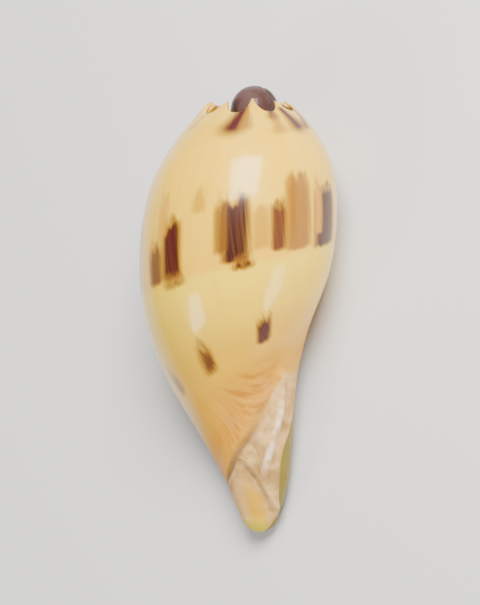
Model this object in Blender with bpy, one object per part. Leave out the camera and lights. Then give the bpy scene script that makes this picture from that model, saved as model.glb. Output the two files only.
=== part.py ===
# Crowned baler shell: one dextral spiral shell, lying on its open side.
# Lengths are in metres and angles in degrees. Depth runs down the coiling axis, from the
# growth centre near the top of the first whorls towards the front tip. The growth angle is
# zero at the lip and negative before it, one turn for each 360 degrees. A share is the part
# of the last turn that is grown, from zero, one turn back, to one at the lip.
import math

import bmesh
import bpy
import numpy as np
from mathutils import Matrix

# Growth
WHORL_EXPANSION = 2.19
LIP_BEARING = 240.0
LIP_SWING = [(0.060, 0), (0.100, -4), (0.125, -9), (0.145, -17), (0.165, -29), (0.184, -44)]
YOUNG_SHARE = 0.28

# Body whorl: depth and radius at the lip's size
BODY_PROFILE = [
    (-0.0012, 0.0200),
    (0.0062, 0.0290),
    (0.0180, 0.0396),
    (0.0380, 0.0521),
    (0.0620, 0.0586),
    (0.0880, 0.0595),
    (0.1140, 0.0557),
    (0.1400, 0.0449),
    (0.1650, 0.0278),
    (0.1900, 0.0105),
    (0.2050, 0.0030),
]
BODY_END = (0.198, 0.205)

# Pillar at the front end: depth and radius
PILLAR_PROFILE = [
    (0.0600, 0.0161),
    (0.0900, 0.0231),
    (0.1100, 0.0206),
    (0.1200, 0.0186),
    (0.1320, 0.0175),
    (0.1600, 0.0157),
    (0.1740, 0.0133),
    (0.1820, 0.0104),
    (0.1870, 0.0083),
]
PILLAR_START = (0.025, 0.075)
PILLAR_DRIFT = 0.0011
PILLAR_DRIFT_SPAN = (0.160, 0.187)
PILLAR_BLEND = 4.0
NOTCH_DEPTH = 0.1840
TIP_DEPTH = 0.1935
TIP_ROUNDING = 0.0083
TIP_TAPER = 0.35
TIP_POWER = 2.5
BLADE_LENGTH = 0.012
BLADE_SHARE = 0.05

# Columella: the pillar's face inside the opening, with its pleats
COLUMELLA_SHARE = 0.48
COLUMELLA_FACE = (255.0, 358.0)
COLUMELLA_SLOPE = 0.085
PLEAT_DEPTHS = [0.104, 0.121, 0.138]
PLEAT_HEIGHT = 0.0022
PLEAT_WIDTH = 0.0050
PLEAT_END = (0.16, 0.27)

# Fasciole: a keel, as depth and bearing, and beside it the step of the siphon notch's arch
KEEL_PATH = [
    (0.118, 55),
    (0.139, 54),
    (0.150, 63),
    (0.160, 73),
    (0.170, 80),
    (0.175, 76),
    (0.180, 60),
    (0.184, 40),
]
KEEL_START = (0.116, 0.126)
KEEL_END = (0.182, 0.190)
KEEL_HEIGHT = 0.0011
KEEL_WIDTH = 8.0
NOTCH_ARCH = [
    (20, 0.1870),
    (60, 0.1795),
    (80, 0.1730),
    (97, 0.1667),
    (115, 0.1613),
    (129, 0.1610),
    (151, 0.1653),
    (180, 0.1710),
]
NOTCH_SIDES = (8.0, 34.0, 118.0, 160.0)
NOTCH_STEP = 0.0013
NOTCH_SLOPE = 0.0035
NOTCH_END = 4

# First whorls: a dome, and the suture round it
DOME_RADIUS = 0.0110
DOME_CENTRE = 0.0045
DOME_LEAN = 100.0
DOME_PULL = 5
DOME_SHIFT = 0.0012
DOME_SHIFT_END = 0.010
SUTURE_RADIUS = 0.0105
SUTURE_DEPTH = 0.0064
YOUNG_SHOULDER = (0.0133, 0.0036)
YOUNG_SLOPE = 0.0024

# Crown of spines, and the sunken ramp behind it
SPINE_SPACING = 39.375
FIRST_SPINE = -28.125
GROWN_SPINES = (-352.0, -290.0)
SPINE_TIP = -0.0012
SPINE_POINT = 1.3
TALL_SPINE = -146.25
TALL_SPREAD = 30.0
SHORT_SPINE_SHARE = 0.74
LIP_CREST = (-36.0, -22.0)
LIP_CREST_SHARE = 0.66
SPINE_VALLEY = 0.0080
SPINE_THICKNESS = 0.0010
SPINE_CLEARANCE = 0.0118
FOLD_HEIGHT = 0.0010
FOLD_WIDTH = 6.0
FOLD_LENGTH = 0.0130
CHANNEL_DEPTH = 0.0007
CHANNEL_BEARING = 9.0
RAMP_FOOT = 0.75
RAMP_DIP = 0.0008
RAMP_SWELL = 0.0010
RAMP_SLIMNESS = 0.06
RAMP_SAG = 1.5
CREST_SLIMNESS = 0.15

# Wall and hollow
WALL = 0.0022
WALL_ROWS = 2
SUTURE_TUCK = 0.0006
LIP_RADIUS = 0.05
HOLLOW_TURN = 300.0
HOLLOW_OPEN = 45.0
HOLLOW_CLOSING = 0.18
HOLLOW_CEILING = 0.0095
HOLLOW_DROP = 0.0045
HOLLOW_CLIMB = 1.05
HOLLOW_RISE = 0.004
HOLLOW_RISE_END = 40.0
HOLLOW_LEAST = 0.0006
HOLLOW_TOP_ROWS = 6
HOLLOW_LOW_ROWS = 5
HOLLOW_ROW_START = 0.35

# Rest: the shell lies on its lip, its opening and its front end, each worn to a small flat spot
REST_ROLL = 33.0
REST_PITCH = 9.3
REST_WEAR = 0.0003

# Mesh
COLUMNS = 64
DOME_ROWS = 6
RAMP_ROWS = 4
BODY_ROWS = 32
ROW_CROWDING = 0.4
TIP_ROWS = 6
LIP_TOP_ROWS = 3
LIP_END_ROWS = 4
LIP_RIM_STEPS = 3
LIP_RIM_TURN = 0.4
HOLLOW_STEPS = 17
HOLLOW_START = 3.0
HOLLOW_CROWDING = 1.2
SUTURE_ROW = DOME_ROWS
NOTCH_ROW = DOME_ROWS + RAMP_ROWS + BODY_ROWS


def growth(angle):
    return WHORL_EXPANSION ** (angle / 360.0)


def fade(start, end, value):
    share = np.clip((value - start) / (end - start), 0.0, 1.0)
    return share * share * (3.0 - 2.0 * share)


def bump(middle, width, value):
    return np.exp(-(((value - middle) / width) ** 2))


def smooth_curve(points):
    # Natural cubic curve through the given points.
    x, y = np.array(points, dtype=float).T
    gap = np.diff(x)
    slope = np.diff(y) / gap
    system = np.eye(len(x))
    target = np.zeros(len(x))
    for i in range(1, len(x) - 1):
        system[i, i - 1 : i + 2] = gap[i - 1], 2.0 * (gap[i - 1] + gap[i]), gap[i]
        target[i] = 6.0 * (slope[i] - slope[i - 1])
    bend = np.linalg.solve(system, target)

    def curve(at):
        at = np.clip(at, x[0], x[-1])
        i = np.clip(np.searchsorted(x, at) - 1, 0, len(x) - 2)
        after = at - x[i]
        before = x[i + 1] - at
        cubic = (bend[i] * before**3 + bend[i + 1] * after**3) / (6.0 * gap[i])
        low = (y[i] / gap[i] - bend[i] * gap[i] / 6.0) * before
        high = (y[i + 1] / gap[i] - bend[i + 1] * gap[i] / 6.0) * after
        return cubic + low + high

    return curve


body_curve = smooth_curve(BODY_PROFILE)
pillar_curve = smooth_curve(PILLAR_PROFILE)
lip_curve = smooth_curve([(-0.05, 0), (0.0, 0), (0.03, 0)] + LIP_SWING)
keel_curve = smooth_curve(KEEL_PATH)
arch_curve = smooth_curve(NOTCH_ARCH)


def lip_swing(depth):
    return np.where(depth > NOTCH_DEPTH, LIP_SWING[-1][1], lip_curve(np.minimum(depth, NOTCH_DEPTH)))


def spine_share(angle):
    # One at a spine's tip and zero in the scalloped valleys between two spines. The crest
    # stays high over the last stretch before the lip, where the next spine is growing.
    swing = np.abs(np.sin(np.pi * (angle - FIRST_SPINE) / SPINE_SPACING))
    sharp = (1.0 - swing) ** SPINE_POINT
    tall = bump(TALL_SPINE, TALL_SPREAD, angle)
    height = SHORT_SPINE_SHARE + (1.0 - SHORT_SPINE_SHARE) * tall
    spines = sharp * height * fade(*GROWN_SPINES, angle)
    return np.maximum(spines, LIP_CREST_SHARE * fade(*LIP_CREST, angle))


def body_radius(angle, depth):
    # Each spine runs down the shoulder as a low fold, with a channel on the side of the lip.
    size = growth(angle)
    own_depth = depth / size
    radius = size * body_curve(own_depth) * (1.0 - fade(*BODY_END, own_depth))
    from_spine = np.mod(angle - FIRST_SPINE + SPINE_SPACING / 2, SPINE_SPACING) - SPINE_SPACING / 2
    ridge = FOLD_HEIGHT * bump(0.0, FOLD_WIDTH, from_spine)
    channel = CHANNEL_DEPTH * bump(CHANNEL_BEARING, FOLD_WIDTH, from_spine)
    fold = (ridge - channel) * bump(0.0, FOLD_LENGTH, own_depth) * fade(*GROWN_SPINES, angle)
    return radius + size * fold


def pillar_radius(share, depth):
    last = PILLAR_PROFILE[-1][0]
    radius = pillar_curve(np.minimum(depth, last)) * fade(*PILLAR_START, depth)
    end = np.clip((depth - last) / (TIP_DEPTH - last), 0.0, 1.0)
    tip = (TIP_ROUNDING - TIP_TAPER * (depth - last)) * np.sqrt(1.0 - end**TIP_POWER)
    radius = np.where(depth > last, tip, radius)
    inner = np.minimum(COLUMELLA_SLOPE * depth, COLUMELLA_SHARE * radius)
    bearing = LIP_BEARING + lip_swing(depth) + 360.0 * share
    opened = 1.0 - fade(*COLUMELLA_FACE, bearing)
    blade = fade(1.0 - BLADE_SHARE, 1.0, share) * fade(NOTCH_DEPTH - BLADE_LENGTH, NOTCH_DEPTH, depth)
    open_share = np.maximum(opened, blade)
    past = np.clip(-share, 0.0, 1.0) * 360.0
    size = growth(np.clip(share, -1.0, 1.0) * 360.0)
    pleats = sum(bump(pleat * size, PLEAT_WIDTH * size, depth) for pleat in PLEAT_DEPTHS)
    pleats = pleats * PLEAT_HEIGHT * growth(-past) * (1.0 - fade(*PLEAT_END, share))
    front = np.mod(bearing, 360.0)
    keel = KEEL_HEIGHT * bump(keel_curve(depth), KEEL_WIDTH, front)
    keel = keel * fade(*KEEL_START, depth) * (1.0 - fade(*KEEL_END, depth))
    beside = fade(*NOTCH_SIDES[:2], front) * (1.0 - fade(*NOTCH_SIDES[2:], front))
    sunken = fade(0.0, NOTCH_SLOPE, depth - arch_curve(front)) * (1.0 - end**NOTCH_END)
    return radius + (inner - radius) * open_share + pleats + keel - NOTCH_STEP * beside * sunken


def shell_radius(angle, depth):
    share = 1.0 + (angle - lip_swing(depth)) / 360.0
    body = np.maximum(body_radius(angle, depth), 0.0)
    pillar = np.maximum(pillar_radius(share, depth), 0.0)
    return (body**PILLAR_BLEND + pillar**PILLAR_BLEND) ** (1.0 / PILLAR_BLEND)


def shell_profile(share, crowned=True):
    # Radius, depth and growth angle of every row of the outer surface, from the top to the tip.
    turn = 360.0 * (share - 1.0)
    size = growth(turn)
    rise = spine_share(turn) if crowned else 0.0
    young = 1.0 - fade(0.0, YOUNG_SHARE, share)
    valley_depth = size * SPINE_VALLEY + YOUNG_SLOPE * young
    valley_radius = size * body_curve(valley_depth / size)
    crest_depth = valley_depth + size * (SPINE_TIP - SPINE_VALLEY) * rise
    crest_radius = max(size * body_curve(crest_depth / size), SPINE_CLEARANCE)
    loose = (1.0 - young) * (1.0 - fade(1.0 - YOUNG_SHARE, 1.0, share))
    base_radius = YOUNG_SHOULDER[0] + (SUTURE_RADIUS - YOUNG_SHOULDER[0]) * loose
    base_depth = YOUNG_SHOULDER[1] + (SUTURE_DEPTH - YOUNG_SHOULDER[1]) * loose
    ramp = max(valley_radius - base_radius, 0.0)
    dip = min(RAMP_DIP, RAMP_SLIMNESS * ramp)
    rows = []
    for k in range(DOME_ROWS + 1):
        part = k / DOME_ROWS
        lean = math.radians(DOME_LEAN * part)
        radius = DOME_RADIUS * math.sin(lean)
        depth = DOME_CENTRE - DOME_RADIUS * math.cos(lean)
        pull = part**DOME_PULL
        rows.append((radius + (base_radius - radius) * pull, depth + (base_depth - depth) * pull))
    foot_radius = base_radius + RAMP_FOOT * ramp
    foot_depth = valley_depth + dip
    swell = min(RAMP_SWELL, RAMP_SLIMNESS * ramp) * (1.0 - loose)
    middle_depth = 0.5 * (base_depth + foot_depth) + RAMP_SAG * dip * loose - swell
    rows.append((0.5 * (base_radius + foot_radius), middle_depth))
    rows.append((foot_radius, foot_depth))
    rows.append((crest_radius - min(SPINE_THICKNESS, CREST_SLIMNESS * ramp), crest_depth + 0.5 * dip))
    rows.append((crest_radius, crest_depth))
    for k in range(1, BODY_ROWS + 1):
        even = k / BODY_ROWS
        down = even + ROW_CROWDING * (0.5 - 0.5 * math.cos(math.pi * even) - even)
        rows.append((None, crest_depth + (NOTCH_DEPTH - crest_depth) * down))
    for k in range(1, TIP_ROWS + 1):
        down = math.sin(math.radians(90.0 * k / TIP_ROWS))
        rows.append((None, NOTCH_DEPTH + (TIP_DEPTH - NOTCH_DEPTH) * down))
    depth = np.array([row[1] for row in rows])
    angle = turn + lip_swing(depth)
    radius = shell_radius(angle, depth)
    for k, row in enumerate(rows):
        if row[0] is not None:
            radius[k] = row[0]
    radius[-1] = 0.0
    return radius, depth, angle


def place(radius, depth, angle):
    # The dome leans off the coiling axis to one side, and the pillar's end to the other.
    bearing = np.radians(LIP_BEARING + angle)
    lean = DOME_SHIFT * (1.0 - fade(0.0, DOME_SHIFT_END, depth))
    drift = PILLAR_DRIFT * fade(*PILLAR_DRIFT_SPAN, depth)
    return np.stack([radius * np.cos(bearing) - lean + drift, -depth, radius * np.sin(bearing)], axis=-1)


def wall_share(row):
    # Full wall thickness along the lip, running out at its two ends.
    from_top = (row - SUTURE_ROW) / LIP_TOP_ROWS
    from_notch = (NOTCH_ROW - row) / LIP_END_ROWS
    return min(1.0, from_top, from_notch)


def inward(radius, depth):
    # Direction into the wall at each row of a profile, as radius and depth.
    row = np.arange(len(radius))
    above = np.maximum(row - WALL_ROWS, 0)
    below = np.minimum(row + WALL_ROWS, len(radius) - 1)
    run_radius = radius[below] - radius[above]
    run_depth = depth[below] - depth[above]
    length = np.hypot(run_radius, run_depth)
    return -run_depth / length, run_radius / length


def rounding(rows_in, rows):
    return math.sqrt(1.0 - max(0.0, 1.0 - rows_in / rows) ** 2)


def hollow_loop(back, inset, forward, blend, gape):
    # One closed loop of the hollow, outer side down and inner side back up. Back is its angle
    # behind the lip, and blend leads from the lip's own line to the free shape of the hollow.
    out_radius, out_depth, out_angle = shell_profile(1.0 - back / 360.0, crowned=False)
    in_radius, in_depth, _ = shell_profile(-back / 360.0, crowned=False)
    step_radius, step_depth = inward(out_radius, out_depth)
    size = growth(-back)
    count = NOTCH_ROW - SUTURE_ROW
    top = HOLLOW_CEILING * size + HOLLOW_DROP
    low = NOTCH_DEPTH * growth(-HOLLOW_CLIMB * back) - HOLLOW_RISE * fade(0.0, HOLLOW_RISE_END, back)
    outer = []
    inner = []
    for k in range(count + 1):
        row = SUTURE_ROW + k
        thick = inset * wall_share(row)
        radius = out_radius[row] + step_radius[row] * thick
        depth = out_depth[row] + step_depth[row] * thick
        rows_down = max(k - LIP_TOP_ROWS, HOLLOW_ROW_START * k)
        free_depth = top + (low - top) * rows_down / (count - LIP_TOP_ROWS)
        free_angle = lip_swing(free_depth) - back
        far = shell_radius(free_angle, free_depth) - WALL * size**0.5
        near = shell_radius(free_angle - 360.0, free_depth)
        middle = 0.5 * (far + near)
        rounded = rounding(k, HOLLOW_TOP_ROWS) * rounding(count - k, HOLLOW_LOW_ROWS)
        width = 0.5 * max(far - near, HOLLOW_LEAST) * rounded * gape
        outer.append(
            (
                radius + (middle + width - radius) * blend,
                depth + (free_depth - depth) * blend,
                out_angle[row] + (free_angle - out_angle[row]) * blend + forward * wall_share(row),
            )
        )
        tuck = SUTURE_TUCK * inset / WALL if k == 0 else 0.0
        depth = in_depth[row] + tuck + (free_depth - in_depth[row]) * blend
        angle = lip_swing(depth) - back - 360.0
        own_angle = lip_swing(in_depth[row]) - back - 360.0
        settle = (in_radius[row] - shell_radius(own_angle, in_depth[row])) * (1.0 - blend)
        lift = (middle - width - near) * blend**2
        inner.append((shell_radius(angle, depth) + settle + lift, depth, angle))
    loop = [inner[0]] + outer[1:-1] + [inner[-1]] + inner[-2:0:-1] + [inner[0]]
    return place(*np.array(loop, dtype=float).T)


def outer_sheet():
    return [place(*shell_profile(k / COLUMNS)) for k in range(COLUMNS + 1)]


def hollow_sheet():
    # Over the lip's rounded rim, then back inside the whorl to a closed end.
    loops = [hollow_loop(0.0, 0.0, 0.0, 0.0, 1.0)]
    for k in range(1, LIP_RIM_STEPS + 1):
        bend = math.radians(180.0 * k / LIP_RIM_STEPS)
        inset = 0.5 * WALL * (1.0 - math.cos(bend))
        forward = math.degrees(0.5 * WALL * math.sin(bend) / LIP_RADIUS)
        loops.append(hollow_loop(LIP_RIM_TURN * k, inset, forward, 0.0, 1.0))
    for k in range(1, HOLLOW_STEPS + 1):
        share = k / HOLLOW_STEPS
        back = HOLLOW_START + (HOLLOW_TURN - HOLLOW_START) * share**HOLLOW_CROWDING
        closing = rounding(1.0 - share, HOLLOW_CLOSING)
        loops.append(hollow_loop(back, WALL, 0.0, float(fade(0.0, HOLLOW_OPEN, back)), closing))
    return loops


def roll_grid(bm, lines):
    # A flat sheet of quads whose rows and columns are laid along the given lines.
    wide = len(lines)
    tall = len(lines[0])
    made = bmesh.ops.create_grid(bm, x_segments=wide - 1, y_segments=tall - 1, size=1.0)
    for vert in made["verts"]:
        column = round((vert.co.x + 1.0) / 2.0 * (wide - 1))
        row = round((vert.co.y + 1.0) / 2.0 * (tall - 1))
        vert.co = lines[column][row]


def lay_down(bm):
    # Roll and pitch the shell to how it rests, wear the low points flat and stand it on the origin.
    roll = Matrix.Rotation(math.radians(REST_ROLL), 3, "Y")
    pitch = Matrix.Rotation(math.radians(REST_PITCH), 3, "X")
    bmesh.ops.rotate(bm, verts=bm.verts, matrix=pitch @ roll)
    at = np.array([vert.co for vert in bm.verts])
    middle = 0.5 * (at.min(axis=0) + at.max(axis=0))
    floor = at[:, 2].min() + REST_WEAR
    bmesh.ops.translate(bm, verts=bm.verts, vec=(-middle[0], -middle[1], -floor))
    everything = list(bm.verts) + list(bm.edges) + list(bm.faces)
    ground = {"plane_co": (0, 0, 0), "plane_no": (0, 0, 1), "clear_inner": True}
    bmesh.ops.bisect_plane(bm, geom=everything, dist=1e-7, **ground)
    bmesh.ops.holes_fill(bm, edges=[edge for edge in bm.edges if edge.is_boundary])


def make_shell():
    # The outer sheet meets itself in one seam, which is left open as a slit along the lip, and
    # the hollow's sheet starts from that slit.
    bm = bmesh.new()
    outer = outer_sheet()
    for row in list(range(SUTURE_ROW + 1)) + list(range(NOTCH_ROW, len(outer[0]))):
        outer[-1][row] = outer[0][row]
    hollow = hollow_sheet()
    slit = list(outer[-1][SUTURE_ROW : NOTCH_ROW + 1]) + list(outer[0][NOTCH_ROW - 1 : SUTURE_ROW : -1])
    hollow[0] = np.array(slit + [outer[0][SUTURE_ROW]])
    roll_grid(bm, outer)
    roll_grid(bm, hollow)
    bmesh.ops.remove_doubles(bm, verts=bm.verts, dist=1e-6)
    bmesh.ops.recalc_face_normals(bm, faces=bm.faces)
    lay_down(bm)
    mesh = bpy.data.meshes.new("shell")
    bm.to_mesh(mesh)
    bm.free()
    mesh.shade_smooth()
    return mesh


def shell_material():
    material = bpy.data.materials.new("glazed cream shell")
    material.use_nodes = True
    shader = material.node_tree.nodes["Principled BSDF"]
    shader.inputs["Base Color"].default_value = (0.82, 0.60, 0.28, 1.0)
    shader.inputs["Roughness"].default_value = 0.3
    shader.inputs["Metallic"].default_value = 0.0
    return material


def main():
    for item in list(bpy.data.objects):
        bpy.data.objects.remove(item)
    mesh = make_shell()
    mesh.materials.append(shell_material())
    shell = bpy.data.objects.new("shell", mesh)
    bpy.context.scene.collection.objects.link(shell)


main()
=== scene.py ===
import math

import bmesh
import bpy
import numpy as np
from mathutils import Matrix, Vector


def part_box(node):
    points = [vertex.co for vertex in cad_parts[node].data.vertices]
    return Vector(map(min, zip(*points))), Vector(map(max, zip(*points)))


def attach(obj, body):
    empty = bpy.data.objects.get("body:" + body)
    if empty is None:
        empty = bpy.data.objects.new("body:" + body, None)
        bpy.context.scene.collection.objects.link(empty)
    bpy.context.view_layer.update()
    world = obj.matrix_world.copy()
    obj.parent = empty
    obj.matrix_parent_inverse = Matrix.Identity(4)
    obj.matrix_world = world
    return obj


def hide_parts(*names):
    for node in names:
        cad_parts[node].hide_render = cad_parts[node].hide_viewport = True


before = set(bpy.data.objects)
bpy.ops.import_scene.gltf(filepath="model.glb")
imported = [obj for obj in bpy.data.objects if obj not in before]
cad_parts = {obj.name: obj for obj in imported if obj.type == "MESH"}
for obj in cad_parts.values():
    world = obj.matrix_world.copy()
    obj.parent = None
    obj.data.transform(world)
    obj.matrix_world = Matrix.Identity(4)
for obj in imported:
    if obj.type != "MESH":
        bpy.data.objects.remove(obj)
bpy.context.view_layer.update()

# Lengths are in metres and angles in degrees. Depth runs down the coiling axis from the top of
# the first whorls. The growth angle is zero at the lip and negative before it.
shellShape = {
    "whorlExpansion": 2.19,
    "lipBearing": 240.0,
    "lipSwing": [(0.060, 0), (0.100, -4), (0.125, -9), (0.145, -17), (0.165, -29), (0.184, -44)],
    "bodyProfile": [
        (-0.0012, 0.0200),
        (0.0062, 0.0290),
        (0.0180, 0.0396),
        (0.0380, 0.0521),
        (0.0620, 0.0586),
        (0.0880, 0.0595),
        (0.1140, 0.0557),
        (0.1400, 0.0449),
        (0.1650, 0.0278),
        (0.1900, 0.0105),
        (0.2050, 0.0030),
    ],
    "pillarProfile": [
        (0.0600, 0.0161),
        (0.0900, 0.0231),
        (0.1100, 0.0206),
        (0.1200, 0.0186),
        (0.1320, 0.0175),
        (0.1600, 0.0157),
        (0.1740, 0.0133),
        (0.1820, 0.0104),
        (0.1870, 0.0083),
    ],
    "bodyEnd": (0.198, 0.205),
    "tipDepth": 0.1935,
    "tipRounding": 0.0083,
    "tipTaper": 0.35,
    "tipPower": 2.5,
    "notchDepth": 0.1840,
    "pillarDrift": 0.0011,
    "pillarDriftRun": (0.160, 0.187),
    "pillarBlend": 4.0,
    "pillarStart": (0.025, 0.075),
    "columellaShare": 0.48,
    "columellaFace": (255.0, 358.0),
    "columellaSlope": 0.085,
    "bladeShare": (0.95, 1.0),
    "bladeLength": 0.012,
    "pleatDepths": [0.104, 0.121, 0.138],
    "pleatHeight": 0.0022,
    "pleatWidth": 0.0050,
    "pleatEnd": (0.16, 0.27),
    "keelPath": [
        (0.118, 55),
        (0.139, 54),
        (0.150, 63),
        (0.160, 73),
        (0.170, 80),
        (0.175, 76),
        (0.180, 60),
        (0.184, 40),
    ],
    "keelHeight": 0.0011,
    "keelWidth": 8.0,
    "keelSpan": (0.116, 0.126, 0.182, 0.190),
    "notchArch": [
        (20, 0.1870),
        (60, 0.1795),
        (80, 0.1730),
        (97, 0.1667),
        (115, 0.1613),
        (129, 0.1610),
        (151, 0.1653),
        (180, 0.1710),
    ],
    "notchSpan": (8.0, 34.0, 118.0, 160.0),
    "notchStep": 0.0013,
    "notchSlope": 0.0035,
    "domeRadius": 0.0110,
    "domeCentre": 0.0045,
    "domeLean": 100.0,
    "domePull": 5,
    "domeShift": 0.0012,
    "domeShiftDepth": 0.010,
    "sutureRadius": 0.0105,
    "sutureDepth": 0.0064,
    "youngShoulder": (0.0133, 0.0036),
    "youngSlope": 0.0024,
    "youngTurn": (0.0, 0.28),
    "looseTurn": (0.0, 0.28, 0.72, 1.0),
    "rampSteps": 4,
    "rampFoot": 0.75,
    "rampDip": 0.0008,
    "rampSag": 1.5,
    "rampSwell": 0.0010,
    "rampShare": 0.06,
    "sutureTuck": 0.0006,
    "spineSpacing": 39.375,
    "firstSpine": -28.125,
    "spineTip": -0.0012,
    "spineSharpness": 1.3,
    "crownStart": (-352.0, -290.0),
    "tallSpine": -146.25,
    "tallSpineSpread": 30.0,
    "shortSpineShare": 0.74,
    "spineValley": 0.0080,
    "spineThickness": 0.0010,
    "spineBase": 0.15,
    "spineClearance": 0.0118,
    "foldHeight": 0.0010,
    "foldWidth": 6.0,
    "foldLength": 0.0130,
    "channelDepth": 0.0007,
    "channelBearing": 9.0,
    "lipCrest": (-36.0, -22.0),
    "lipCrestShare": 0.66,
    "wall": 0.0022,
    "wallGrowth": 0.5,
    "wallRows": (9.0, 14.0),
    "inwardRows": 6,
    "rimTurn": 1.2,
    "rimRadius": 0.05,
    "hollowStart": 1.6,
    "hollowTurn": 300.0,
    "hollowCrowding": 1.2,
    "hollowBlend": 45.0,
    "hollowClosing": 0.82,
    "hollowCeiling": 0.0095,
    "hollowDrop": 0.0045,
    "hollowClimb": 1.05,
    "hollowRise": 0.004,
    "hollowRiseEnd": 40.0,
    "hollowRowStart": 13.0,
    "hollowRowLead": 0.35,
    "hollowRounding": (26.0, 20.0),
    "hollowLeast": 0.0006,
    "restRoll": 33.0,
    "restPitch": 9.3,
    "restWear": 0.0003,
    "columns": 240,
    "domeRows": 24,
    "bodyRows": 180,
    "rowCrowding": 0.4,
    "tipRows": 20,
    "lipRimSteps": 6,
    "hollowSteps": 48,
}
cameraView = {
    "axisColumn": 257.5,
    "topRow": 100.0,
    "metresPerPixel": 0.000448,
    "width": 480,
    "height": 605,
    "distance": 3.2,
    "farthest": 20.0,
}


def growth(angle):
    return shellShape["whorlExpansion"] ** (angle / 360.0)


def fade(start, end, value):
    share = np.clip((value - start) / (end - start), 0.0, 1.0)
    return share * share * (3.0 - 2.0 * share)


def within(span, value):
    # One between the two middle limits, fading to zero at the outer two.
    start, full, last, end = span
    return fade(start, full, value) * (1.0 - fade(last, end, value))


def bump(middle, width, value):
    return np.exp(-(((value - middle) / width) ** 2))


def smoothCurve(points):
    # Natural cubic curve through the given points.
    x, y = np.array(points, dtype=float).T
    gap = np.diff(x)
    slope = np.diff(y) / gap
    system = np.eye(len(x))
    target = np.zeros(len(x))
    for i in range(1, len(x) - 1):
        system[i, i - 1 : i + 2] = gap[i - 1], 2.0 * (gap[i - 1] + gap[i]), gap[i]
        target[i] = 6.0 * (slope[i] - slope[i - 1])
    bend = np.linalg.solve(system, target)

    def curve(at):
        at = np.clip(at, x[0], x[-1])
        i = np.clip(np.searchsorted(x, at) - 1, 0, len(x) - 2)
        after = at - x[i]
        before = x[i + 1] - at
        cubic = (bend[i] * before**3 + bend[i + 1] * after**3) / (6.0 * gap[i])
        low = (y[i] / gap[i] - bend[i] * gap[i] / 6.0) * before
        high = (y[i + 1] / gap[i] - bend[i + 1] * gap[i] / 6.0) * after
        return cubic + low + high

    return curve


bodyCurve = smoothCurve(shellShape["bodyProfile"])
pillarCurve = smoothCurve(shellShape["pillarProfile"])
lipCurve = smoothCurve([(-0.05, 0), (0.0, 0), (0.03, 0)] + shellShape["lipSwing"])
keelCurve = smoothCurve(shellShape["keelPath"])
archCurve = smoothCurve(shellShape["notchArch"])


def lipSwing(depth):
    deepest = shellShape["notchDepth"]
    return np.where(depth > deepest, shellShape["lipSwing"][-1][1], lipCurve(np.minimum(depth, deepest)))


def spineShare(angle):
    # One at a spine's tip and zero in the scalloped valleys between two spines.
    swing = np.abs(np.sin(np.pi * (angle - shellShape["firstSpine"]) / shellShape["spineSpacing"]))
    sharp = (1.0 - swing) ** shellShape["spineSharpness"]
    grown = fade(*shellShape["crownStart"], angle)
    tall = bump(shellShape["tallSpine"], shellShape["tallSpineSpread"], angle)
    least = shellShape["shortSpineShare"]
    crest = shellShape["lipCrestShare"] * fade(*shellShape["lipCrest"], angle)
    return np.maximum(sharp * grown * (least + (1.0 - least) * tall), crest)


def bodyRadius(angle, depth):
    size = growth(angle)
    ownDepth = depth / size
    radius = size * bodyCurve(ownDepth) * (1.0 - fade(*shellShape["bodyEnd"], ownDepth))
    spacing = shellShape["spineSpacing"]
    fromSpine = np.mod(angle - shellShape["firstSpine"] + spacing / 2, spacing) - spacing / 2
    width = shellShape["foldWidth"]
    ridge = shellShape["foldHeight"] * bump(0.0, width, fromSpine)
    channel = shellShape["channelDepth"] * bump(shellShape["channelBearing"], width, fromSpine)
    fold = (ridge - channel) * bump(0.0, shellShape["foldLength"], ownDepth)
    return radius + size * fold * fade(*shellShape["crownStart"], angle)


def pillarRadius(share, depth):
    # Share runs from zero under the lip, once round the axis, to one at the lip itself.
    last = shellShape["pillarProfile"][-1][0]
    radius = pillarCurve(np.minimum(depth, last)) * fade(*shellShape["pillarStart"], depth)
    end = np.clip((depth - last) / (shellShape["tipDepth"] - last), 0.0, 1.0)
    tip = shellShape["tipRounding"] - shellShape["tipTaper"] * (depth - last)
    radius = np.where(depth > last, tip * np.sqrt(1.0 - end ** shellShape["tipPower"]), radius)
    inner = np.minimum(shellShape["columellaSlope"] * depth, shellShape["columellaShare"] * radius)
    bearing = shellShape["lipBearing"] + lipSwing(depth) + 360.0 * share
    opened = 1.0 - fade(*shellShape["columellaFace"], bearing)
    notch = shellShape["notchDepth"]
    blade = fade(*shellShape["bladeShare"], share) * fade(notch - shellShape["bladeLength"], notch, depth)
    openShare = np.maximum(opened, blade)
    past = np.clip(-share, 0.0, 1.0) * 360.0
    turn = np.clip(share, -1.0, 1.0) * 360.0
    pleats = 0.0
    for pleat in shellShape["pleatDepths"]:
        offset = (depth - pleat * growth(turn)) / (shellShape["pleatWidth"] * growth(turn))
        pleats = pleats + np.exp(-(offset**2))
    pleats = pleats * shellShape["pleatHeight"] * growth(-past) * (1.0 - fade(*shellShape["pleatEnd"], share))
    front = np.mod(bearing, 360.0)
    keel = shellShape["keelHeight"] * bump(keelCurve(depth), shellShape["keelWidth"], front)
    keel = keel * within(shellShape["keelSpan"], depth)
    beyond = fade(0.0, shellShape["notchSlope"], depth - archCurve(front))
    step = within(shellShape["notchSpan"], front) * beyond * (1.0 - end**4)
    return radius + (inner - radius) * openShare + pleats + keel - shellShape["notchStep"] * step


def shellRadius(angle, depth):
    share = 1.0 + (angle - lipSwing(depth)) / 360.0
    body = np.maximum(bodyRadius(angle, depth), 0.0)
    pillar = np.maximum(pillarRadius(share, depth), 0.0)
    power = shellShape["pillarBlend"]
    return (body**power + pillar**power) ** (1.0 / power)


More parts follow.
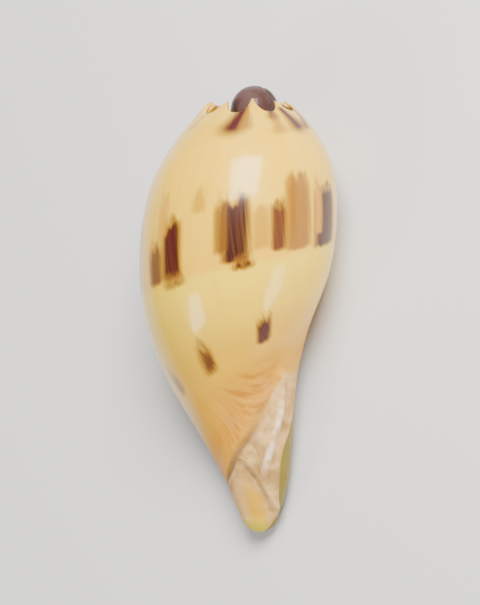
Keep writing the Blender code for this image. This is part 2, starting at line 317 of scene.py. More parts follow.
def shellProfile(share, crowned=True):
    # Radius, depth and growth angle of every row of the outer surface, from the top to the tip.
    turn = 360.0 * (share - 1.0)
    size = growth(turn)
    rise = spineShare(turn) if crowned else 0.0
    young = 1.0 - fade(*shellShape["youngTurn"], share)
    valley = shellShape["spineValley"]
    valleyDepth = size * valley + shellShape["youngSlope"] * young
    crestDepth = valleyDepth + size * (shellShape["spineTip"] - valley) * rise
    crestRadius = max(size * bodyCurve(crestDepth / size), shellShape["spineClearance"])
    valleyRadius = size * bodyCurve(valleyDepth / size)
    loose = within(shellShape["looseTurn"], share)
    baseRadius, baseDepth = shellShape["youngShoulder"]
    baseRadius = baseRadius + (shellShape["sutureRadius"] - baseRadius) * loose
    baseDepth = baseDepth + (shellShape["sutureDepth"] - baseDepth) * loose
    ramp = max(valleyRadius - baseRadius, 0.0)
    rampShare = shellShape["rampShare"] * ramp
    dip = min(shellShape["rampDip"], rampShare)
    rows = []
    for k in range(shellShape["domeRows"] + 1):
        part = k / shellShape["domeRows"]
        lean = math.radians(shellShape["domeLean"] * part)
        radius = shellShape["domeRadius"] * math.sin(lean)
        depth = shellShape["domeCentre"] - shellShape["domeRadius"] * math.cos(lean)
        pull = part ** shellShape["domePull"]
        rows.append((radius + (baseRadius - radius) * pull, depth + (baseDepth - depth) * pull))
    footRadius = baseRadius + shellShape["rampFoot"] * ramp
    footDepth = valleyDepth + dip
    swell = min(shellShape["rampSwell"], rampShare) * (1.0 - loose)
    middleDepth = 0.5 * (baseDepth + footDepth) + shellShape["rampSag"] * dip * loose - swell
    thick = min(shellShape["spineThickness"], shellShape["spineBase"] * ramp)
    corners = [(baseRadius, baseDepth), (0.5 * (baseRadius + footRadius), middleDepth)]
    corners += [(footRadius, footDepth), (crestRadius - thick, crestDepth + 0.5 * dip)]
    rows += blendRows(corners, shellShape["rampSteps"])
    rows.append((crestRadius, crestDepth))
    notch = shellShape["notchDepth"]
    for k in range(1, shellShape["bodyRows"] + 1):
        even = k / shellShape["bodyRows"]
        down = even + shellShape["rowCrowding"] * (0.5 - 0.5 * math.cos(math.pi * even) - even)
        rows.append((None, crestDepth + (notch - crestDepth) * down))
    for k in range(1, shellShape["tipRows"] + 1):
        down = math.sin(math.radians(90.0 * k / shellShape["tipRows"]))
        rows.append((None, notch + (shellShape["tipDepth"] - notch) * down))
    depth = np.array([row[1] for row in rows])
    angle = turn + lipSwing(depth)
    radius = shellRadius(angle, depth)
    for k, row in enumerate(rows):
        if row[0] is not None:
            radius[k] = row[0]
    radius[-1] = 0.0
    return radius, depth, angle


def blendRows(corners, steps):
    # Rows on a smooth line through a few corners, without the first corner itself.
    marks = range(len(corners))
    radius = smoothCurve([(k, corners[k][0]) for k in marks])
    depth = smoothCurve([(k, corners[k][1]) for k in marks])
    places = [k / steps for k in range(1, (len(corners) - 1) * steps + 1)]
    return [(float(radius(at)), float(depth(at))) for at in places]


rampRows = 3 * shellShape["rampSteps"]
sutureRow = shellShape["domeRows"]
notchRow = sutureRow + rampRows + 1 + shellShape["bodyRows"]


def place(radius, depth, angle):
    bearing = np.radians(shellShape["lipBearing"] + angle)
    top = 1.0 - fade(0.0, shellShape["domeShiftDepth"], depth)
    drift = shellShape["pillarDrift"] * fade(*shellShape["pillarDriftRun"], depth)
    x = radius * np.cos(bearing) - shellShape["domeShift"] * top + drift
    return np.stack([x, -depth, radius * np.sin(bearing)], axis=-1)


def wallShare(row):
    # Full wall thickness along the lip, running out at its two ends.
    topRows, notchRows = shellShape["wallRows"]
    return np.clip(np.minimum((row - sutureRow) / topRows, (notchRow - row) / notchRows), 0.0, 1.0)


def inward(radius, depth):
    # Direction into the wall at each row of a profile, as radius and depth.
    row = np.arange(len(radius))
    above = np.maximum(row - shellShape["inwardRows"], 0)
    below = np.minimum(row + shellShape["inwardRows"], len(radius) - 1)
    runRadius = radius[below] - radius[above]
    runDepth = depth[below] - depth[above]
    length = np.sqrt(runRadius**2 + runDepth**2) + 1e-9
    return -runDepth / length, runRadius / length


def hollowLoop(back, inset, forward, blend, gape):
    # One closed loop of the hollow, outer side down and inner side back up.
    run = slice(sutureRow, notchRow + 1)
    outRadius, outDepth, outAngle = (line[run] for line in shellProfile(1.0 - back / 360.0, False))
    inRadius, inDepth = (line[run] for line in shellProfile(-back / 360.0, False)[:2])
    stepRadius, stepDepth = inward(outRadius, outDepth)
    size = growth(-back)
    count = notchRow - sutureRow
    k = np.arange(count + 1)
    share = wallShare(sutureRow + k)
    top = shellShape["hollowCeiling"] * size + shellShape["hollowDrop"]
    low = shellShape["notchDepth"] * growth(-shellShape["hollowClimb"] * back)
    low = low - shellShape["hollowRise"] * fade(0.0, shellShape["hollowRiseEnd"], back)
    start = shellShape["hollowRowStart"]
    freeDepth = top + (low - top) * np.maximum(k - start, shellShape["hollowRowLead"] * k) / (count - start)
    freeAngle = lipSwing(freeDepth) - back
    far = shellRadius(freeAngle, freeDepth) - shellShape["wall"] * size ** shellShape["wallGrowth"]
    near = shellRadius(freeAngle - 360.0, freeDepth)
    middle = 0.5 * (far + near)
    topRows, lowRows = shellShape["hollowRounding"]
    roundTop = np.sqrt(1.0 - np.maximum(0.0, 1.0 - k / topRows) ** 2)
    roundLow = np.sqrt(1.0 - np.maximum(0.0, 1.0 - (count - k) / lowRows) ** 2)
    width = 0.5 * np.maximum(far - near, shellShape["hollowLeast"]) * roundTop * roundLow * gape
    radius = outRadius + stepRadius * inset * share
    depth = outDepth + stepDepth * inset * share
    outer = np.stack(
        [
            radius + (middle + width - radius) * blend,
            depth + (freeDepth - depth) * blend,
            outAngle + (freeAngle - outAngle) * blend + forward * share,
        ]
    )
    tuck = np.where(k == 0, shellShape["sutureTuck"] * inset / shellShape["wall"], 0.0)
    backDepth = inDepth + tuck + (freeDepth - inDepth) * blend
    backAngle = lipSwing(backDepth) - back - 360.0
    settle = (inRadius - shellRadius(lipSwing(inDepth) - back - 360.0, inDepth)) * (1.0 - blend)
    lift = (middle - width - near) * blend**2
    inner = np.stack([shellRadius(backAngle, backDepth) + settle + lift, backDepth, backAngle])
    return np.concatenate([inner[:, :1], outer[:, 1:-1], inner[:, :0:-1], inner[:, :1]], axis=1)


# Low relief that only the fine surface has, and where the front end's finishes meet
shellRelief = {
    "grooveLine": [
        (0.118, 46), (0.1322, 68.5), (0.1384, 78.5), (0.1546, 112),
        (0.1595, 127.5), (0.1698, 165), (0.176, 215), (0.184, 270),
    ],
    "grooveSpan": (0.118, 0.150, 0.168, 0.176),
    "grooveDepth": 0.00100,
    "grooveWidth": 10.0,
    "glazeLine": [(0.110, -12), (0.121, 6), (0.145, 25), (0.157, 44), (0.170, 48), (0.178, 42), (0.184, 27)],
    "glazeEdge": 2.5,
    "glazeTop": (0.040, 0.060),
    "glazeStep": 0.00045,
    "glazeStepStart": (0.112, 0.130),
    "fascioleEdge": 4.0,
    "fascioleTop": (0.116, 0.128),
    "waves": [(7.3, 0.000012), (3.1, 0.000006), (17.0, 0.00003)],
    "waveSpan": (0.010, 0.030, 0.186, 0.196),
    "crescentHeight": 0.00006,
    "crescentGaps": [(0.0041, 0.0), (0.0071, 1.0)],
    "crescentBend": 0.0000056,
    "crescentMiddle": 97.0,
    "crescentSway": (0.0006, 7.0),
    "crescentOwn": (0.160, 0.172, 0.190, 0.197),
    "crescentFront": (62.0, 80.0, 125.0, 160.0),
    "foldLine": [
        (60, 0.1760), (82.5, 0.1662), (91, 0.1581), (97, 0.1555),
        (117.5, 0.1555), (134, 0.1590), (165, 0.1670),
    ],
    "foldFront": (70.0, 84.0, 140.0, 160.0),
    "foldTop": (0.140, 0.150),
    "foldHeight": 0.00075,
    "foldHollow": 0.7,
    "foldWidth": 0.0013,
    "keelRise": 0.0006,
    "keelWidth": 4.5,
    "keelSpan": (0.120, 0.130, 0.164, 0.180),
    "lumps": [
        (0.1235, 58), (0.131, 56), (0.1365, 55), (0.141, 57), (0.146, 64), (0.150, 68),
        (0.154, 70), (0.158, 75), (0.165, 80), (0.1743, 78), (0.1792, 61), (0.1823, 42),
    ],
    "lumpHeight": 0.0011,
    "lumpReach": (0.0017, 6.0),
    "frontShare": 0.6,
    "reliefTurn": (0.0, 0.02, 0.985, 1.0),
    "reliefEnd": (0.184, 0.189),
    "capAxis": (0.73, 0.68, 0.05),
    "capEdge": 27.0,
    "capWidth": 4.0,
    "capGroove": 0.00032,
    "capRows": (6, 1),
}
foldCurve = smoothCurve(shellRelief["foldLine"])
grooveCurve = smoothCurve(shellRelief["grooveLine"])
glazeCurve = smoothCurve(shellRelief["glazeLine"])


def surfaceNotes(depth, angle):
    # Own depth, growth line, bearing counted on from the turn before, and bearing in the view
    own = depth / growth(angle)
    line = angle - lipCurve(np.clip(own, -0.05, shellShape["notchDepth"]))
    bearing = shellShape["lipBearing"] + angle
    return own, line, bearing + 360.0, np.mod(bearing, 360.0)


def fascioleShare(depth, bearing):
    edge = shellRelief["fascioleEdge"]
    return fade(-edge, edge, 360.0 + grooveCurve(depth) - bearing) * fade(*shellRelief["fascioleTop"], depth)


def glazeShare(depth, bearing, share):
    # The smooth strip that runs from the inner lip round to the front of the pillar.
    edge = shellRelief["glazeEdge"]
    onStrip = fade(-edge, edge, 360.0 + glazeCurve(depth) - bearing)
    return onStrip * fade(*shellRelief["glazeTop"], depth) * (share < shellRelief["frontShare"])


def growthRelief(own, line, depth, front):
    # Faint growth waves all over, and crescent wrinkles above the fasciole.
    waves = sum(tall * np.sin(2 * np.pi * line / turn + turn) for turn, tall in shellRelief["waves"])
    low = within(shellRelief["crescentOwn"], own) * within(shellRelief["crescentFront"], front)
    sway, swing = shellRelief["crescentSway"]
    arc = depth + shellRelief["crescentBend"] * (front - shellRelief["crescentMiddle"]) ** 2
    arc = arc + sway * np.sin(front / swing)
    wrinkles = sum(np.sin(2 * np.pi * arc / gap + start) for gap, start in shellRelief["crescentGaps"])
    return waves * within(shellRelief["waveSpan"], own) + shellRelief["crescentHeight"] * low * wrinkles


def frontRelief(share, depth, bearing, front):
    # The fold over the notch's arch, the groove beside the fasciole, its lumpy keel and the glaze.
    wide = shellRelief["foldWidth"]
    offFold = depth - foldCurve(front)
    fold = bump(wide, wide, offFold) - shellRelief["foldHollow"] * bump(-wide, wide, offFold)
    fold = fold * within(shellRelief["foldFront"], front) * fade(*shellRelief["foldTop"], depth)
    groove = bump(grooveCurve(depth), shellRelief["grooveWidth"], front)
    groove = groove * within(shellRelief["grooveSpan"], depth)
    keel = bump(keelCurve(depth), shellRelief["keelWidth"], front)
    keel = keel * within(shellRelief["keelSpan"], depth)
    long, wide = shellRelief["lumpReach"]
    lumps = sum(bump(at, long, depth) * bump(aim, wide, front) for at, aim in shellRelief["lumps"])
    shown = share < shellRelief["frontShare"]
    height = shellRelief["foldHeight"] * fold - shellRelief["grooveDepth"] * groove
    height = height + (shellRelief["keelRise"] * keel + shellRelief["lumpHeight"] * lumps) * shown
    glaze = glazeShare(depth, bearing, share) * fade(*shellRelief["glazeStepStart"], depth)
    return height - shellRelief["glazeStep"] * glaze


def relief(share, depth, angle):
    own, line, bearing, front = surfaceNotes(depth, angle)
    height = growthRelief(own, line, depth, front) + frontRelief(share, depth, bearing, front)
    height = height * within(shellRelief["reliefTurn"], share)
    height = height * (1.0 - fade(*shellRelief["reliefEnd"], depth))
    return np.where(np.arange(len(depth)) > sutureRow + rampRows, height, 0.0)


def shapeDome(points):
    # The groove round the very first whorl, which sits aslant on the dome.
    centre = np.array([-shellShape["domeShift"], -shellShape["domeCentre"], 0.0])
    out = points - centre
    length = np.linalg.norm(out, axis=-1)
    axis = np.array(shellRelief["capAxis"]) / np.linalg.norm(shellRelief["capAxis"])
    lean = np.degrees(np.arccos(np.clip(out @ axis / length, -1.0, 1.0)))
    first, last = shellRelief["capRows"]
    onDome = 1.0 - fade(sutureRow - first, sutureRow - last, np.arange(len(points)))
    sink = shellRelief["capGroove"] * bump(shellRelief["capEdge"], shellRelief["capWidth"], lean) * onDome
    return points - out / length[:, None] * sink[:, None]


# What the finish reads at each point: pairs of numbers, then a colour of four shares
mapNames = ["growthMap", "lineMap", "poleMap", "edgeMap", "foldMap"]


def sheetNotes(share, depth, angle, inside, rows):
    own, line, bearing, front = surfaceNotes(depth, angle)
    nothing = np.zeros(len(depth))
    fasciole = nothing if inside > 0 else fascioleShare(depth, bearing)
    glaze = nothing if inside > 0 else glazeShare(depth, bearing, share)
    dome = 1.0 - 0.5 * fade(sutureRow - 2.0, sutureRow + 1.0, rows)
    dome = dome - 0.5 * fade(sutureRow + rampRows - 3.0, sutureRow + rampRows + 1.0, rows)
    notes = [angle, own * 1000, line, (depth - archCurve(front)) * 1000, front, depth * 1000]
    notes += [front - keelCurve(depth), bearing - 360.0 - grooveCurve(depth)]
    notes += [(depth - foldCurve(front)) * 1000, nothing]
    notes += [fasciole, nothing + inside, glaze, dome]
    return np.stack(notes, axis=-1)


def outerSheet():
    columns = shellShape["columns"]
    lines = []
    notes = []
    for k in range(columns + 1):
        share = k / columns
        radius, depth, angle = shellProfile(share)
        lines.append(shapeDome(place(radius + relief(share, depth, angle), depth, angle)))
        notes.append(sheetNotes(share, depth, angle, 0.0, np.arange(len(depth))))
    return lines, notes


def hollowSheet():
    # The sheet starts along the lip's slit, rolls over the rim and runs back inside the whorl.
    loops = [hollowLoop(0.0, 0.0, 0.0, 0.0, 1.0)]
    inside = [0.0]
    steps = shellShape["lipRimSteps"]
    wall = shellShape["wall"]
    for k in range(1, steps + 1):
        bend = math.radians(180.0 * k / steps)
        inset = 0.5 * wall * (1.0 - math.cos(bend))
        forward = math.degrees(0.5 * wall * math.sin(bend) / shellShape["rimRadius"])
        loops.append(hollowLoop(shellShape["rimTurn"] * k / steps, inset, forward, 0.0, 1.0))
        inside.append(k / steps)
    steps = shellShape["hollowSteps"]
    start = shellShape["hollowStart"]
    closing = shellShape["hollowClosing"]
    for k in range(1, steps + 1):
        share = k / steps
        back = start + (shellShape["hollowTurn"] - start) * share ** shellShape["hollowCrowding"]
        gape = math.sqrt(max(0.0, 1.0 - max(0.0, (share - closing) / (1.0 - closing)) ** 2))
        loops.append(hollowLoop(back, wall, 0.0, float(fade(0.0, shellShape["hollowBlend"], back)), gape))
        inside.append(1.0)
    below = np.full(len(loops[0][0]), notchRow)
    notes = [sheetNotes(1.0, loop[1], loop[2], amount, below) for loop, amount in zip(loops, inside)]
    return [place(*loop) for loop in loops], notes


def rollGrid(bm, lines, notes):
    # A flat sheet of quads whose rows and columns are laid along the given lines. Its corners
    # keep what the finish reads, so that the maps stay whole where two edges are merged.
    maps = [bm.loops.layers.uv.get(name) or bm.loops.layers.uv.new(name) for name in mapNames]
    zones = bm.loops.layers.float_color.get("zones") or bm.loops.layers.float_color.new("zones")
    wide = len(lines)
    tall = len(lines[0])
    made = bmesh.ops.create_grid(bm, x_segments=wide - 1, y_segments=tall - 1, size=1.0)
    for vert in made["verts"]:
        column = round((vert.co.x + 1.0) / 2.0 * (wide - 1))
        row = round((vert.co.y + 1.0) / 2.0 * (tall - 1))
        vert.co = lines[column][row]
        own = [float(value) for value in notes[column][row]]
        for loop in vert.link_loops:
            for k, layer in enumerate(maps):
                loop[layer].uv = own[2 * k : 2 * k + 2]
            loop[zones] = own[-4:]


def restTurn():
    roll = Matrix.Rotation(math.radians(shellShape["restRoll"]), 3, "Y")
    return Matrix.Rotation(math.radians(shellShape["restPitch"]), 3, "X") @ roll


def layDown(bm):
    # Turn the shell to how it rests, and set it down where the solid lies.
    bmesh.ops.rotate(bm, verts=bm.verts, matrix=restTurn())
    at = np.array([vert.co for vert in bm.verts])
    low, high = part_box("shell")
    middle = 0.5 * (at.min(axis=0) + at.max(axis=0))
    floor = at[:, 2].min() + shellShape["restWear"]
    shift = Vector((0.5 * (low[0] + high[0]) - middle[0], 0.5 * (low[1] + high[1]) - middle[1], -floor))
    bmesh.ops.translate(bm, verts=bm.verts, vec=shift)
    for vert in bm.verts:
        vert.co.z = max(vert.co.z, 0.0)
    return shift


def makeShell():
    # The outer sheet is open along the slit at the lip, where the hollow's sheet joins it.
    bm = bmesh.new()
    outer, outerNotes = outerSheet()
    for row in list(range(sutureRow + 1)) + list(range(notchRow, len(outer[0]))):
        outer[-1][row] = outer[0][row]
    hollow, hollowNotes = hollowSheet()
    slit = list(outer[-1][sutureRow : notchRow + 1]) + list(outer[0][notchRow - 1 : sutureRow : -1])
    hollow[0] = np.array(slit + [outer[0][sutureRow]])
    rollGrid(bm, outer, outerNotes)
    rollGrid(bm, hollow, hollowNotes)
    bmesh.ops.remove_doubles(bm, verts=bm.verts, dist=1e-6)
    bmesh.ops.recalc_face_normals(bm, faces=bm.faces)
    shift = layDown(bm)
    mesh = bpy.data.meshes.new("crownedBalerShell")
    bm.to_mesh(mesh)
    bm.free()
    mesh.shade_smooth()
    piece = bpy.data.objects.new("crownedBalerShell", mesh)
    bpy.context.scene.collection.objects.link(piece)
    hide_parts("shell")
    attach(piece, "root")
    print("shell:", len(mesh.polygons), "faces")
    return piece, shift


def makeCamera(shift):
    # Square to the coiling axis, from so far off that the view is nearly parallel.
    turn = restTurn()
    scale = cameraView["metresPerPixel"]
    across = (cameraView["width"] / 2 - cameraView["axisColumn"]) * scale
    down = (cameraView["height"] / 2 - cameraView["topRow"]) * scale
    target = turn @ Vector((across, -down, 0.0)) + shift
    data = bpy.data.cameras.new("viewCamera")
    camera = bpy.data.objects.new("viewCamera", data)
    bpy.context.scene.collection.objects.link(camera)
    stand = turn.to_4x4()
    stand.translation = target + turn @ Vector((0.0, 0.0, cameraView["distance"]))
    camera.matrix_world = stand
    data.lens = data.sensor_width * cameraView["distance"] / (cameraView["height"] * scale)
    data.clip_end = cameraView["farthest"]
    bpy.context.scene.camera = camera
    print("camera: lens", round(data.lens, 1))


studioFloor = {"size": 3.0, "colour": (0.65, 0.65, 0.64), "roughness": 0.7}


def makeFloor():
    bm = bmesh.new()
    bmesh.ops.create_grid(bm, x_segments=1, y_segments=1, size=studioFloor["size"])
    mesh = bpy.data.meshes.new("studioFloor")
    bm.to_mesh(mesh)
    bm.free()
    floor = bpy.data.objects.new("studioFloor", mesh)
    bpy.context.scene.collection.objects.link(floor)
    material = bpy.data.materials.new("pale floor")
    material.use_nodes = True
    shader = material.node_tree.nodes["Principled BSDF"]
    shader.inputs["Base Color"].default_value = (*studioFloor["colour"], 1.0)
    shader.inputs["Roughness"].default_value = studioFloor["roughness"]
    mesh.materials.append(material)
    print("floor: one square")


studioLight = {
    "air": 0.32,
    "airColour": (0.96, 0.97, 1.0),
    "middle": (0.0, -0.09, 0.0),
    "boxes": [
        # name, direction in the view (right, up, towards it), distance, width, height, watts, colour
        ("windowLight", (-0.06, 0.60, 0.80), 1.2, 0.66, 0.78, 46.0, (1.0, 0.97, 0.94)),
        ("leftLight", (-0.76, -0.50, 0.42), 1.3, 0.32, 0.48, 7.0, (1.0, 0.98, 0.96)),
        ("rightLight", (0.66, -0.46, 0.60), 1.2, 0.42, 0.60, 9.0, (1.0, 0.98, 0.96)),
        ("topLight", (-0.35, 0.93, 0.10), 1.4, 0.70, 0.70, 1.2, (1.0, 0.97, 0.97)),
    ],
}


def makeLights(shift):
    world = bpy.data.worlds.new("studioAir")
    world.use_nodes = True
    air = world.node_tree.nodes["Background"]
    air.inputs["Color"].default_value = (*studioLight["airColour"], 1.0)
    air.inputs["Strength"].default_value = studioLight["air"]
    bpy.context.scene.world = world
    turn = restTurn()
    middle = turn @ Vector(studioLight["middle"]) + shift
    for name, aim, distance, wide, high, energy, colour in studioLight["boxes"]:
        data = bpy.data.lights.new(name, "AREA")
        data.shape = "RECTANGLE"
        data.size = wide
        data.size_y = high
        data.energy = energy
        data.color = colour
        light = bpy.data.objects.new(name, data)
        away = (turn @ Vector(aim)).normalized()
        across = (turn @ Vector((0.0, 1.0, 0.0))).cross(away).normalized()
        stand = Matrix((across, away.cross(across), away)).transposed().to_4x4()
        stand.translation = middle + away * distance
        light.matrix_world = stand
        bpy.context.scene.collection.objects.link(light)
    print("lights:", len(studioLight["boxes"]))


class Sock:
    # One output socket, so that shader maths reads as plain expressions.
    def __init__(self, paint, socket):
        self.paint = paint
        self.socket = socket

    def __add__(self, other):
        return self.paint.maths("ADD", self, other)

    def __radd__(self, other):
        return self.paint.maths("ADD", other, self)

    def __sub__(self, other):
        return self.paint.maths("SUBTRACT", self, other)

    def __rsub__(self, other):
        return self.paint.maths("SUBTRACT", other, self)

    def __mul__(self, other):
        return self.paint.maths("MULTIPLY", self, other)

    def __rmul__(self, other):
        return self.paint.maths("MULTIPLY", other, self)

    def __truediv__(self, other):
        return self.paint.maths("DIVIDE", self, other)

    def __rtruediv__(self, other):
        return self.paint.maths("DIVIDE", other, self)

    def __pow__(self, other):
        return self.paint.maths("POWER", self, other)

    def __rpow__(self, other):
        return self.paint.maths("POWER", other, self)


class Paint:
    def __init__(self, name):
        self.material = bpy.data.materials.new(name)
        self.material.use_nodes = True
        self.tree = self.material.node_tree
        self.shader = self.tree.nodes["Principled BSDF"]

    def node(self, kind, settings=None, inputs=None, output=0):
        # Settings come first, a ramp's stops among them, then the sockets' values or links.
        made = self.tree.nodes.new("ShaderNode" + kind)
        for name, value in (settings or {}).items():
            if name == "stops":
                self.setStops(made.color_ramp, value)
            else:
                setattr(made, name, value)
        for name, value in (inputs or {}).items():
            self.feed(made.inputs[name], value)
        return Sock(self, made.outputs[output])

    def setStops(self, ramp, stops):
        ramp.interpolation = "EASE"
        while len(ramp.elements) < len(stops):
            ramp.elements.new(0.5)
        for element, (at, colour) in zip(ramp.elements, stops):
            element.position = at
            element.color = colour

    def feed(self, socket, value):
        if isinstance(value, Sock):
            self.tree.links.new(value.socket, socket)
        else:
            socket.default_value = value

    def maths(self, operation, *values):
        return self.node("Math", {"operation": operation}, dict(enumerate(values)))

    def rise(self, value, low, high):
        # Zero below low and one above high, with soft ends.
        limits = {"Value": value, "From Min": low, "From Max": high}
        return self.node("MapRange", {"interpolation_type": "SMOOTHSTEP"}, limits)

    def span(self, value, limits):
        # Soft up between the first two limits and, where there are four, down between the others.
        if len(limits) == 2:
            return self.rise(value, *limits)
        return self.rise(value, *limits[:2]) * (1 - self.rise(value, *limits[2:]))

    def share(self, value, least, more):
        return least + value * more

    def near(self, distance, inner, outer):
        # One close to a line and zero past the outer limit.
        return 1 - self.rise(self.maths("ABSOLUTE", distance), inner, outer)

    def sway(self, noise, amount):
        # A noise turned into a shift to either side.
        return (noise - 0.5) * amount

    def mix(self, share, a, b):
        return self.node("Mix", {"data_type": "RGBA"}, {0: share, 6: a, 7: b}, 2)

    def dye(self, share, a, b):
        return self.node("Mix", {"data_type": "RGBA", "blend_type": "MULTIPLY"}, {0: share, 6: a, 7: b}, 2)

    def point(self, x, y, z=0.0):
        return self.node("CombineXYZ", None, {"X": x, "Y": y, "Z": z})

    def noise(self, vector, scale, detail=3.0, roughness=0.5):
        inputs = {"Vector": vector, "Scale": scale, "Detail": detail, "Roughness": roughness}
        return self.node("TexNoise", None, inputs)

    def map(self, name):
        across = self.node("UVMap", {"uv_map": name})
        return [self.node("SeparateXYZ", None, {"Vector": across}, k) for k in (0, 1)]


paintTone = {"richness": 1.50, "depth": 0.88}


def tint(red, green, blue):
    # A colour as seen on a screen, from 0 to 255, made linear and a little richer.
    linear = [(part / 255.0) ** 2.2 for part in (red, green, blue)]
    grey = sum(linear) / 3.0
    rich = [grey + (part - grey) * paintTone["richness"] for part in linear]
    return (*[min(1.0, max(0.004, part * paintTone["depth"])) for part in rich], 1.0)


